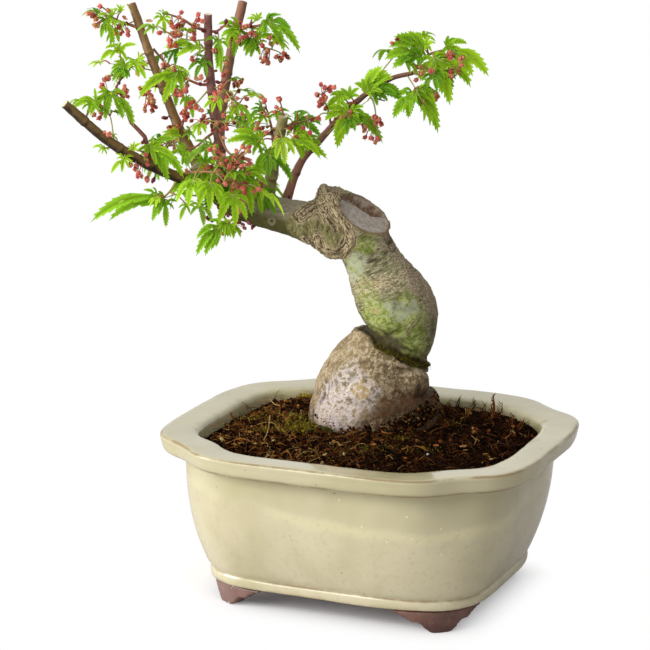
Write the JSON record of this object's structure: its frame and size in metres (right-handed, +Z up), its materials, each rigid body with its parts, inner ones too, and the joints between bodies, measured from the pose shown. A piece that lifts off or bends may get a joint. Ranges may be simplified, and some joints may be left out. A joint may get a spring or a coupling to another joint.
{
  "type": "japanese maple bonsai in a pot",
  "caption": "Bonsai tree with a swollen creased trunk, a healed pruning cut, sawn boughs, open tufts of young leaves and a glazed pot on bracket feet.",
  "frame": {"origin": "middle of the bounding box's underside, on the level that the pot's feet stand on", "axes": "+Z up; +X along the pot's long side, away from the crown; -Y is the pot's front, and the tree's own front is turned 22.8 degrees from it towards +X"},
  "size_m": [0.199, 0.1412, 0.2388],
  "materials": {
    "glaze": "gloss",
    "bare_clay": "satin",
    "soil": "matte",
    "old_bark": "matte",
    "young_bark": "satin",
    "leaves": "satin"
  },
  "bodies": {
    "root": {"pot": "glaze", "foot_front_left": "bare_clay", "foot_front_right": "bare_clay", "foot_back_left": "bare_clay", "foot_back_right": "bare_clay", "soil": "soil", "trunk": "old_bark", "bough_main": "old_bark", "bough_left": "young_bark", "bough_upper_left": "young_bark", "bough_middle": "young_bark", "bough_upper_right": "young_bark", "bough_right": "young_bark", "stub_short": "young_bark", "leaves_top_left": "leaves", "leaves_left_upper": "leaves", "leaves_left_lower": "leaves", "leaves_behind_upper_left": "leaves", "leaves_top_middle": "leaves", "leaves_top_right": "leaves", "leaves_centre": "leaves", "leaves_low_left": "leaves", "leaves_low_middle": "leaves", "leaves_round_stub": "leaves", "leaves_right_middle": "leaves", "leaves_far_right": "leaves", "leaves_right_tip": "leaves", "leaves_right_drop": "leaves", "leaves_fork": "leaves", "leaves_behind_left": "leaves", "leaves_behind_middle": "leaves", "leaves_behind_low": "leaves", "leaves_front_upper": "leaves"}
  },
  "joints": []
}
